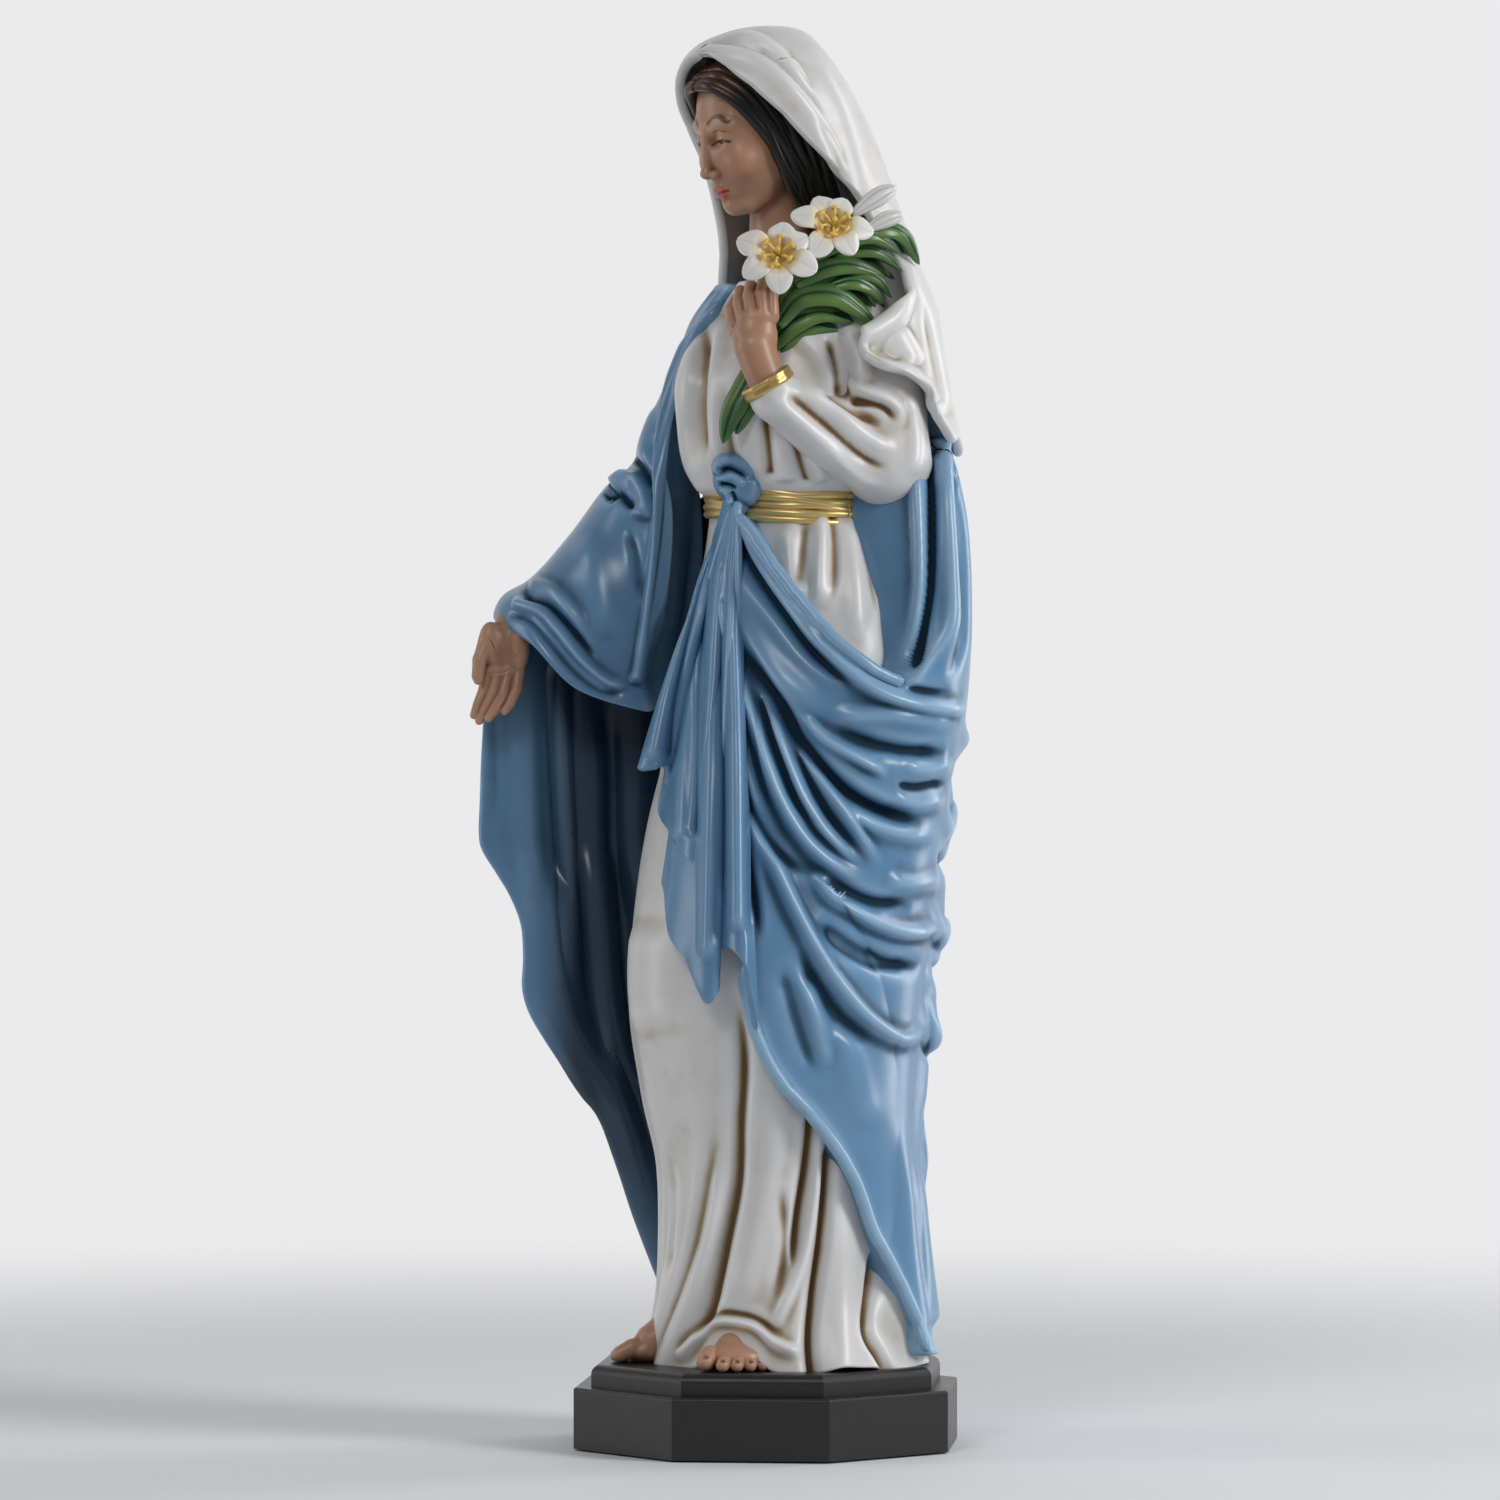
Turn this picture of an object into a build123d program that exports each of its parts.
"""Standing Madonna statue: a painted cast-resin figure on an octagonal plinth.

Frame: origin at the centre of the resting face, +Z up, the figure looks along -Y, and +X is her
left side. Millimetres. The figure is cast in pieces that meet face to face and are held by pins,
glue and one screw through the plinth.
"""

import os
from math import cos, pi, radians, sin

from build123d import *

# ---- driving dimensions ------------------------------------------------------------------------
PLINTH_FLATS = 79.0        # across flats of the lower tier
PLINTH_LOWER_H = 13.3
UPPER_FLATS = 71.8         # across flats of the upper tier
PLINTH_H = 18.0            # top of the plinth, where the figure stands
PLINTH_FOOT = 0.4          # the plinth stands clear of the table on its felt
EDGE_SOFT = 0.6            # softened edge of the lower tier
UPPER_ROUND = 2.0          # rounded edge of the upper tier
FELT_FLATS = 74.0
FELT_T = 1.2
SCREW_R = 2.5              # M5 screw that holds the figure
SCREW_CLEAR = 0.25
SCREW_HEAD_R = 4.75
SCREW_HEAD_H = 3.0
SCREW_TOP = 34.0
WASHER_R = 5.5
WASHER_T = 1.0
SCREW_X, SCREW_Y = 2.0, 2.0
PIN_R = 1.25               # steel dowels in the wrists and the neck
WAIST_Z = (196.0, 204.0)   # straight band of the gown under the girdle
WAIST = (2.0, 4.0, 19.0, 15.0)
CORD_R = 0.8               # one cord of the girdle
CORD_COUNT = 5
NECKLINE_Z = 246.0
MANTLE_FOOT = 24.0         # lowest point of the mantle
FIT = 0.15                 # gap that the glue fills
BIG = 400.0

NODES = {}


def keep(builder, name):
    """Labels a finished piece and stores it for export."""
    builder.part.label = name
    NODES[name] = builder.part


def keep_largest(builder, name):
    """Drops the loose chips that cutting leaves, and keeps the piece."""
    with BuildPart() as whole:
        add(builder.part.solids().sort_by(SortBy.VOLUME)[-1])
    keep(whole, name)


def level_ellipses(rows, turn=0.0):
    """Level sections for a loft. A row is (z, centre x, centre y, half width, half depth)."""
    sections = []
    for z, cx, cy, a, b in rows:
        with BuildSketch(Plane.XY.offset(z)) as section:
            with Locations((cx, cy)):
                Ellipse(a, b, rotation=turn)
        sections.append(section.sketch)
    return sections


def limb_ellipses(stations):
    """Sections across a limb. A station is (centre, direction, half width, half drop)."""
    sections = []
    for centre, along, a, b in stations:
        side = Vector(*along).cross(Vector(0, 0, 1)).normalized()
        with BuildSketch(Plane(origin=centre, x_dir=side, z_dir=Vector(*along))) as section:
            Ellipse(a, b)
        sections.append(section.sketch)
    return sections


def digit(start, end, radius):
    """A finger or toe with round ends."""
    a, b = Vector(*start), Vector(*end)
    with BuildPart() as finger:
        with BuildSketch(Plane(origin=a, z_dir=b - a)):
            Circle(radius)
        extrude(amount=(b - a).length)
        with Locations(a, b):
            Sphere(radius)
    return finger.part


def cut_away(names):
    """Takes earlier pieces out of the open BuildPart."""
    for name in names:
        add(NODES[name], mode=Mode.SUBTRACT)


# ---- plinth and what holds the figure to it ------------------------------------------------------
def octagon_radius(flats):
    return flats / 2 / cos(pi / 8)


def make_plinth():
    with BuildPart() as plinth:
        with BuildSketch(Plane.XY.offset(PLINTH_FOOT)):
            RegularPolygon(octagon_radius(PLINTH_FLATS), 8, rotation=22.5)
        extrude(amount=PLINTH_LOWER_H - PLINTH_FOOT)
        top_edges = plinth.faces().sort_by(Axis.Z)[-1].edges()
        side_edges = plinth.edges().filter_by(Axis.Z)
        fillet(top_edges + side_edges, EDGE_SOFT)
        with BuildSketch(Plane.XY.offset(PLINTH_LOWER_H)):
            RegularPolygon(octagon_radius(UPPER_FLATS), 8, rotation=22.5)
        extrude(amount=PLINTH_H - PLINTH_LOWER_H)
        fillet(plinth.faces().sort_by(Axis.Z)[-1].edges(), UPPER_ROUND)
        with BuildSketch(Plane.XY):
            RegularPolygon(octagon_radius(FELT_FLATS) + FIT, 8, rotation=22.5)
        extrude(amount=FELT_T, mode=Mode.SUBTRACT)
        seat = FELT_T + SCREW_HEAD_H + WASHER_T + FIT
        for radius, top in ((WASHER_R + FIT, seat), (SCREW_R + SCREW_CLEAR, PLINTH_H)):
            with BuildSketch(Plane.XY):
                with Locations((SCREW_X, SCREW_Y)):
                    Circle(radius)
            extrude(amount=top, mode=Mode.SUBTRACT)
    keep(plinth, "plinth")


def make_felt():
    with BuildPart() as felt:
        with BuildSketch(Plane.XY):
            RegularPolygon(octagon_radius(FELT_FLATS), 8, rotation=22.5)
        extrude(amount=FELT_T)
    keep(felt, "felt_pad")


def make_screw():
    head_z = FELT_T + FIT
    with BuildPart() as screw:
        with Locations((SCREW_X, SCREW_Y, head_z)):
            Cylinder(SCREW_HEAD_R, SCREW_HEAD_H, align=(Align.CENTER, Align.CENTER, Align.MIN))
            Cylinder(SCREW_R, SCREW_TOP - head_z, align=(Align.CENTER, Align.CENTER, Align.MIN))
        chamfer(screw.faces().sort_by(Axis.Z)[-1].edges(), 0.5)
        with BuildSketch(Plane.XY.offset(head_z)):
            with Locations((SCREW_X, SCREW_Y)):
                SlotOverall(7.0, 1.2)
        extrude(amount=1.4, mode=Mode.SUBTRACT)
    keep(screw, "figure_screw")

    with BuildPart() as washer:
        with Locations((SCREW_X, SCREW_Y, head_z + SCREW_HEAD_H)):
            Cylinder(WASHER_R, WASHER_T, align=(Align.CENTER, Align.CENTER, Align.MIN))
            Cylinder(SCREW_R + FIT, 3 * WASHER_T, mode=Mode.SUBTRACT)
    keep(washer, "screw_washer")


# ---- gown ----------------------------------------------------------------------------------------
def make_gown():
    wx, wy, wa, wb = WAIST
    with BuildPart() as skirt:
        loft(sections=level_ellipses([
            (PLINTH_H, 2.5, 1.0, 31.0, 27.5),
            (34.0, 2.0, 0.5, 28.5, 25.0),
            (60.0, 2.0, -1.0, 26.5, 25.0),
            (97.0, 1.0, -3.5, 27.0, 26.5),
            (130.0, 1.0, -0.5, 26.0, 21.5),
            (165.0, 2.0, 1.5, 24.5, 19.5),
            (184.0, 2.0, 3.0, 21.5, 17.0),
            (WAIST_Z[0], wx, wy, wa, wb),
        ]))
        with BuildSketch(Plane.XY.offset(PLINTH_H)):
            with Locations((SCREW_X, SCREW_Y)):
                Circle(SCREW_R)
        extrude(amount=SCREW_TOP - PLINTH_H + 1.0, mode=Mode.SUBTRACT)
        cut_away(("left_foot", "right_foot"))
    keep_largest(skirt, "gown_skirt")

    with BuildPart() as waist:
        with BuildSketch(Plane.XY.offset(WAIST_Z[0])):
            with Locations((wx, wy)):
                Ellipse(wa, wb)
        extrude(amount=WAIST_Z[1] - WAIST_Z[0])
    keep(waist, "gown_waist")

    with BuildPart() as bodice:
        loft(sections=level_ellipses([
            (WAIST_Z[1], wx, wy, wa, wb),
            (210.0, 1.0, 3.0, 22.0, 17.5),
            (222.0, 0.0, 2.5, 23.5, 17.0),
            (236.0, 0.0, 4.0, 25.0, 13.5),
            (242.0, 0.0, 4.5, 20.0, 11.0),
            (NECKLINE_Z, 0.0, 4.0, 10.5, 8.5),
        ]))
        cut_away(("neck_pin",))
    keep(bodice, "gown_bodice")


def make_girdle():
    """Five gold cords, wound side by side round the waist."""
    wx, wy, wa, wb = WAIST
    pitch = (WAIST_Z[1] - WAIST_Z[0]) / CORD_COUNT
    reach = CORD_R + FIT / 2
    with BuildPart() as girdle:
        for i in range(CORD_COUNT):
            level = Plane.XY.offset(WAIST_Z[0] + pitch * (i + 0.5))
            with BuildSketch(level.offset(-CORD_R + 0.05)):
                with Locations((wx, wy)):
                    Ellipse(wa + reach + CORD_R, wb + reach + CORD_R)
                    Ellipse(wa + FIT / 2, wb + FIT / 2, mode=Mode.SUBTRACT)
            extrude(amount=2 * CORD_R - 0.1)
    keep(girdle, "girdle_cords")


# ---- arms, hands and feet --------------------------------------------------------------------------
LEFT_SHOULDER, LEFT_ELBOW, LEFT_WRIST = (23.0, 7.0, 236.0), (32.0, 8.5, 207.0), (26.5, -21.0, 223.5)
RIGHT_WRIST, RIGHT_HAND = (-45.0, -28.0, 173.0), (-48.5, -37.0, 160.0)
ARM_TURN = -24.0                     # how far the right arm's drape is turned from straight ahead
RIGHT_REACH = (-0.3, -0.85, -0.5)    # the way the right sleeve points at the wrist
LEFT_REACH = (-0.2, -0.75, 0.6)      # the way the left sleeve points at the wrist


def make_left_arm():
    with BuildPart() as upper:
        loft(sections=limb_ellipses([
            (LEFT_SHOULDER, (0.25, 0.0, -1.0), 8.5, 9.0),
            ((28.5, 8.0, 221.0), (0.25, 0.1, -1.0), 9.0, 9.5),
            (LEFT_ELBOW, (0.1, -0.6, -0.8), 8.0, 9.0),
        ]))
        cut_away(("gown_bodice",))
    keep(upper, "left_sleeve_upper")

    with BuildPart() as fore:
        loft(sections=limb_ellipses([
            (LEFT_ELBOW, (-0.05, -0.95, 0.1), 8.0, 8.5),
            ((30.0, -5.0, 212.0), (-0.15, -0.85, 0.45), 7.5, 8.0),
            (LEFT_WRIST, LEFT_REACH, 4.6, 4.6),
        ]))
        cut_away(("gown_bodice", "left_sleeve_upper", "left_wrist_pin"))
    keep(fore, "left_sleeve_lower")

    with BuildPart() as cuff:
        with BuildSketch(Plane(origin=LEFT_WRIST, z_dir=LEFT_REACH)):
            Circle(5.4)
            Circle(PIN_R + FIT, mode=Mode.SUBTRACT)
        extrude(amount=3.0)
        cut_away(("left_sleeve_lower",))
    keep(cuff, "gold_cuff")


def make_pins():
    """Steel dowels, half in each of the two pieces that they join."""
    for name, centre, z_dir, length in (
        ("left_wrist_pin", LEFT_WRIST, LEFT_REACH, 12.0),
        ("right_wrist_pin", RIGHT_WRIST, RIGHT_REACH, 9.0),
        ("neck_pin", (0.5, 2.5, NECKLINE_Z), (0.0, -0.2, 1.0), 18.0),
    ):
        frame = Plane(origin=centre, z_dir=z_dir)
        with BuildPart() as pin:
            with BuildSketch(frame.offset(-length / 2)):
                Circle(PIN_R)
            extrude(amount=length)
        keep(pin, name)


def make_left_hand():
    """Closed round the stems, held up before the shoulder."""
    with BuildPart() as hand:
        loft(sections=limb_ellipses([
            ((25.6, -24.2, 226.2), (-0.3, 0.1, 1.0), 3.6, 3.2),
            ((22.5, -23.0, 234.0), (-0.3, 0.1, 1.0), 3.0, 5.4),
            ((20.5, -22.0, 241.0), (-0.2, 0.2, 1.0), 2.6, 5.2),
        ]))
        for i in range(4):
            lift = 1.6 * i
            knuckle = (17.5 + 1.5 * i, -25.5 + 2.4 * i, 241.5)
            tip = (15.5 + 1.5 * i, -21.0 + 2.0 * i, 246.0 - lift / 4)
            add(digit(knuckle, tip, 1.5))
        add(digit((19.0, -25.5, 235.0), (14.5, -25.0, 241.5), 1.6))
        cut_away(("gold_cuff", "left_wrist_pin", "left_sleeve_lower"))
    keep(hand, "left_hand")


def make_right_hand():
    """Open and lowered, with the palm to the front."""
    with BuildPart() as hand:
        loft(sections=limb_ellipses([
            (RIGHT_WRIST, RIGHT_REACH, 4.0, 3.4),
            ((-47.3, -33.2, 168.0), (-0.1, -0.6, -0.9), 5.4, 3.0),
            (RIGHT_HAND, (-0.05, -0.3, -1.0), 5.4, 2.4),
        ]))
        for i, length in enumerate((9.0, 10.5, 10.0, 8.0)):
            root = (RIGHT_HAND[0] - 4.2 + 2.7 * i, RIGHT_HAND[1], RIGHT_HAND[2] + 1.0)
            tip = (root[0] - 0.6, root[1] - 2.5, root[2] - length)
            add(digit(root, tip, 1.35))
        add(digit((-50.5, -34.5, 166.5), (-54.5, -38.5, 160.0), 1.6))
        cut_away(("right_wrist_pin", "mantle_over_arm"))
    keep_largest(hand, "right_hand")


def make_feet():
    for name, heel, ball, toe_step in (
        ("left_foot", (13.0, -2.0), (17.0, -17.0), 2.6),
        ("right_foot", (-11.0, -4.0), (-18.5, -19.5), -2.6),
    ):
        top = PLINTH_H
        with BuildPart() as foot:
            along = Vector(ball[0] - heel[0], ball[1] - heel[1], 0).normalized()
            across = (-along.Y, along.X, 0)
            for centre, half_w, height in ((heel, 4.0, 9.0), (ball, 6.5, 5.0)):
                origin = (centre[0], centre[1], top)
                with BuildSketch(Plane(origin=origin, x_dir=across, z_dir=along)):
                    with Locations((0, height / 2)):
                        Rectangle(2 * half_w, height)
            loft(ruled=True)
            for i in range(5):
                reach = 6.0 - 0.35 * i * i
                side = Vector(-along.Y, along.X, 0) * (5.0 - 2.5 * i) * (1 if toe_step > 0 else -1)
                root = Vector(ball[0], ball[1], top + 1.8) + side - along * 1.0
                add(digit(tuple(root), tuple(root + along * reach), 1.5))
        keep(foot, name)


# ---- head, hair and veil -----------------------------------------------------------------------------


def make_head():
    with BuildPart() as head:
        loft(sections=level_ellipses([
            (NECKLINE_Z, 0.5, 2.5, 7.0, 7.0),
            (256.0, 1.0, 0.5, 6.6, 6.8),
            (260.0, 1.2, -3.5, 7.5, 9.5),
            (270.0, 1.5, -5.0, 11.5, 13.0),
            (281.0, 1.5, -3.5, 12.5, 14.5),
            (290.0, 1.5, -1.5, 9.5, 11.5),
            (294.0, 1.5, -0.5, 4.5, 5.5),
        ]))
        cut_away(("neck_pin",))
    keep(head, "head")

    with BuildPart() as hair:
        loft(sections=level_ellipses([
            (250.0, 1.0, 7.0, 11.0, 7.0),
            (262.0, 1.2, 4.0, 12.5, 9.5),
            (275.0, 1.5, 1.0, 14.0, 14.5),
            (286.0, 1.5, 0.0, 13.0, 14.5),
            (294.0, 1.5, -0.5, 8.5, 10.0),
            (296.5, 1.5, -0.5, 4.0, 5.0),
        ]))
        cut_away(("head", "gown_bodice", "neck_pin"))
    keep(hair, "hair")


def make_veil():
    """Hangs from the crown over the back and both shoulders, open at the face and the chest."""
    with BuildPart() as veil:
        loft(sections=level_ellipses([
            (211.0, 1.0, 22.0, 30.0, 15.5),
            (225.0, 1.0, 17.0, 29.5, 19.0),
            (240.0, 1.0, 12.5, 26.5, 19.5),
            (256.0, 1.5, 7.0, 19.0, 18.5),
            (272.0, 1.5, 2.0, 16.0, 17.5),
            (288.0, 1.5, 1.5, 14.5, 15.5),
            (297.0, 1.5, 0.5, 9.5, 10.5),
            (300.0, 1.5, 0.5, 4.0, 4.5),
        ]))
        with BuildSketch(Plane.XZ.offset(2.0)):
            with Locations((1.5, 240.0)):
                Rectangle(44.0, 92.0)
        extrude(amount=BIG, mode=Mode.SUBTRACT)
        cut_away(("hair", "head", "gown_bodice", "left_sleeve_upper", "neck_pin"))
    keep(veil, "veil")


# ---- mantle --------------------------------------------------------------------------------------------
VIEW_SIDE = radians(50.0)   # the wrap's outline is drawn square to this direction, on her front left


def from_side(u, d, z):
    """A point given across (u) and towards (d) an observer at her front left."""
    return (cos(VIEW_SIDE) * u + sin(VIEW_SIDE) * d, sin(VIEW_SIDE) * u - cos(VIEW_SIDE) * d, z)


def mantle_envelope():
    with BuildPart() as envelope:
        loft(sections=level_ellipses([
            (MANTLE_FOOT, 1.0, 6.0, 33.0, 28.5),
            (50.0, 1.0, 5.0, 31.0, 28.0),
            (80.0, 2.0, 3.5, 31.5, 29.0),
            (110.0, 3.0, 4.5, 32.5, 30.0),
            (140.0, 3.5, 6.0, 33.0, 29.0),
            (170.0, 4.0, 7.5, 34.0, 27.5),
            (195.0, 3.0, 9.0, 32.0, 24.5),
            (215.0, 1.5, 9.5, 29.5, 20.5),
            (236.0, 0.5, 8.0, 26.5, 15.5),
            (242.0, 0.5, 7.5, 21.0, 12.5),
        ]))
        cut_away(("gown_skirt", "gown_waist", "gown_bodice", "girdle_cords", "left_sleeve_upper",
                  "left_sleeve_lower"))
    return envelope.part


SPLIT_Y = 10.0    # the back of the mantle lies behind this plane


def make_mantle():
    shell = mantle_envelope()
    with BuildPart() as back:
        add(shell)
        with BuildSketch(Plane.XZ.offset(-SPLIT_Y)):
            Rectangle(BIG, 2 * BIG)
        extrude(amount=BIG, mode=Mode.SUBTRACT)
        cut_away(("veil", "head", "hair"))
    keep(back, "mantle_back")

    outline = [(-9, 196), (-28, 143), (-17, 121), (-15, 94), (-4, 93), (10, 70), (22, 50), (34, 24.5),
               (60, 24.5), (60, 160), (28, 160), (19, 162), (7, 169), (0, 186), (-4, 196)]
    frame = Plane(origin=(0, 0, 0), x_dir=from_side(1, 0, 0), z_dir=from_side(0, 1, 0))
    with BuildPart() as wrap:
        with BuildSketch(frame.offset(-4.0)):
            with BuildLine():
                Polyline([(u, z) for u, z in outline], close=True)
            make_face()
        extrude(amount=BIG / 4)
        add(shell, mode=Mode.INTERSECT)
        with BuildSketch(Plane.XZ.offset(-SPLIT_Y)):
            Rectangle(BIG, 2 * BIG)
        extrude(amount=-BIG, mode=Mode.SUBTRACT)
    keep(wrap, "mantle_wrap")


def make_knot():
    with BuildPart() as knot:
        loft(sections=level_ellipses([
            (195.5, 7.0, -17.5, 2.5, 2.5),
            (199.0, 7.0, -17.5, 5.0, 4.0),
            (206.0, 7.0, -17.0, 6.3, 4.6),
            (211.0, 7.0, -16.5, 2.8, 2.4),
        ]))
        cut_away(("gown_bodice", "gown_waist", "gown_skirt", "girdle_cords", "mantle_wrap"))
    keep(knot, "mantle_knot")


def make_right_drape():
    """The mantle over the lowered right arm."""
    with BuildPart() as drape:
        loft(sections=level_ellipses([
            (157.0, -33.0, -8.0, 4.0, 13.0),
            (162.0, -35.0, -11.0, 7.5, 18.0),
            (175.0, -37.0, -13.0, 9.0, 19.5),
            (190.0, -34.0, -8.0, 10.0, 18.0),
            (208.0, -29.0, -1.0, 11.0, 14.0),
            (225.0, -22.5, 4.5, 10.5, 10.0),
            (240.0, -16.0, 7.0, 7.0, 7.0),
        ], turn=ARM_TURN))
        cut_away(("gown_bodice", "gown_waist", "gown_skirt", "girdle_cords", "mantle_back", "veil",
                  "right_wrist_pin", "head", "hair"))
    keep_largest(drape, "mantle_over_arm")


def make_fall():
    """The part of the mantle that hangs from the right arm to the plinth."""
    with BuildPart() as fall:
        for z, inner, outer, thick in (
            (MANTLE_FOOT, (-24.0, 9.0), (-30.0, -1.0), 3.0),
            (70.0, (-24.0, 9.0), (-40.0, -14.0), 3.5),
            (128.0, (-24.0, 9.0), (-55.0, -33.0), 4.0),
            (172.0, (-24.0, 9.0), (-50.0, -24.0), 4.0),
        ):
            run = Vector(outer[0] - inner[0], outer[1] - inner[1], 0)
            middle = Vector((inner[0] + outer[0]) / 2, (inner[1] + outer[1]) / 2, z)
            with BuildSketch(Plane(origin=middle, x_dir=run, z_dir=(0, 0, 1))):
                RectangleRounded(run.length, thick, thick / 2.2)
        loft()
        cut_away(("gown_skirt", "mantle_back", "mantle_over_arm", "right_hand", "right_foot"))
    keep_largest(fall, "mantle_fall")


# ---- lilies ----------------------------------------------------------------------------------------------
PETALS = 6


def make_lily(name, centre, facing, spread):
    """A trumpet with six petals that open and turn back."""
    axis = Vector(*facing).normalized()
    base = Plane(origin=centre, z_dir=axis)
    with BuildPart() as lily:
        with BuildSketch(base.offset(-4.0)):
            Circle(1.2)
        with BuildSketch(base.offset(1.0)):
            Circle(3.0)
        loft()
        for i in range(PETALS):
            turn = 360.0 / PETALS * i
            frame = base.rotated((0, 0, turn)).offset(0.0)
            tip = frame.x_dir * spread + axis * 2.0
            root = frame.origin + frame.x_dir * 1.0
            petal = Plane(origin=root, x_dir=frame.y_dir, z_dir=tip)
            for share, half_w in ((0.0, 1.1), (0.5, 2.6), (1.0, 0.7)):
                with BuildSketch(petal.offset(share * spread)):
                    Ellipse(half_w, 0.6)
            loft()
    keep(lily, name)


def make_flowers():
    make_lily("lily_front", (18.5, -24.5, 251.0), (0.55, -0.75, 0.35), 6.8)
    make_lily("lily_back", (24.5, -10.0, 259.0), (0.65, -0.65, 0.3), 6.4)
    with BuildPart() as buds:
        for tip, root in (((35.0, 1.0, 264.5), (27.5, 0.0, 256.5)),
                          ((36.5, 2.5, 258.5), (28.5, 1.5, 253.0))):
            run = Vector(*tip) - Vector(*root)
            frame = Plane(origin=root, z_dir=run)
            for share, r in ((0.0, 1.0), (0.45, 2.3), (1.0, 0.7)):
                with BuildSketch(frame.offset(share * run.length)):
                    Circle(r)
            loft()
    keep(buds, "lily_buds")

    with BuildPart() as leaves:
        for stations in (
            (((21.0, -17.0, 245.0), 1.6), ((29.0, -6.0, 252.0), 2.6), ((36.0, 1.0, 248.0), 0.8)),
            (((21.5, -17.5, 241.0), 1.6), ((29.5, -8.5, 246.5), 2.8), ((34.0, -2.0, 240.5), 0.8)),
            (((22.5, -17.5, 237.5), 1.4), ((29.5, -9.5, 241.5), 2.4), ((33.0, -4.0, 233.0), 0.8)),
        ):
            for (centre, width), direction in zip(stations, ((0.4, 0.7, 0.5), (0.6, 0.7, 0.0), (0.5, 0.5, -0.6))):
                side = Vector(*direction).cross(Vector(0.8, -0.5, 0.0)).normalized()
                with BuildSketch(Plane(origin=centre, x_dir=side, z_dir=direction)):
                    Ellipse(width, 0.7)
            loft()
        cut_away(("left_hand", "lily_front", "lily_back", "lily_buds", "gown_bodice", "veil",
                  "left_sleeve_upper", "left_sleeve_lower", "head", "hair", "mantle_back"))
    keep(leaves, "lily_leaves")

    with BuildPart() as stems:
        for foot, top in (((17.0, -19.0, 211.0), (21.0, -19.0, 249.0)),
                          ((18.5, -17.0, 214.0), (23.0, -14.0, 254.0))):
            run = Vector(*top) - Vector(*foot)
            with BuildSketch(Plane(origin=foot, z_dir=run)):
                Circle(0.9)
            extrude(amount=run.length)
        cut_away(("left_hand", "lily_front", "lily_back", "lily_buds", "lily_leaves", "gown_bodice",
                  "veil", "left_sleeve_lower", "gold_cuff", "mantle_knot", "left_wrist_pin"))
    keep(stems, "lily_stems")


def main():
    make_pins()
    make_feet()
    make_plinth()
    make_felt()
    make_screw()
    make_gown()
    make_girdle()
    make_left_arm()
    make_left_hand()
    make_head()
    make_veil()
    make_mantle()
    make_knot()
    make_right_drape()
    make_right_hand()
    make_fall()
    make_flowers()
    os.makedirs("parts", exist_ok=True)
    for name, part in NODES.items():
        export_step(part, f"parts/{name}.step")
        print(name, "solids", len(part.solids()), "volume", round(part.volume, 1), "valid", part.is_valid)


main()
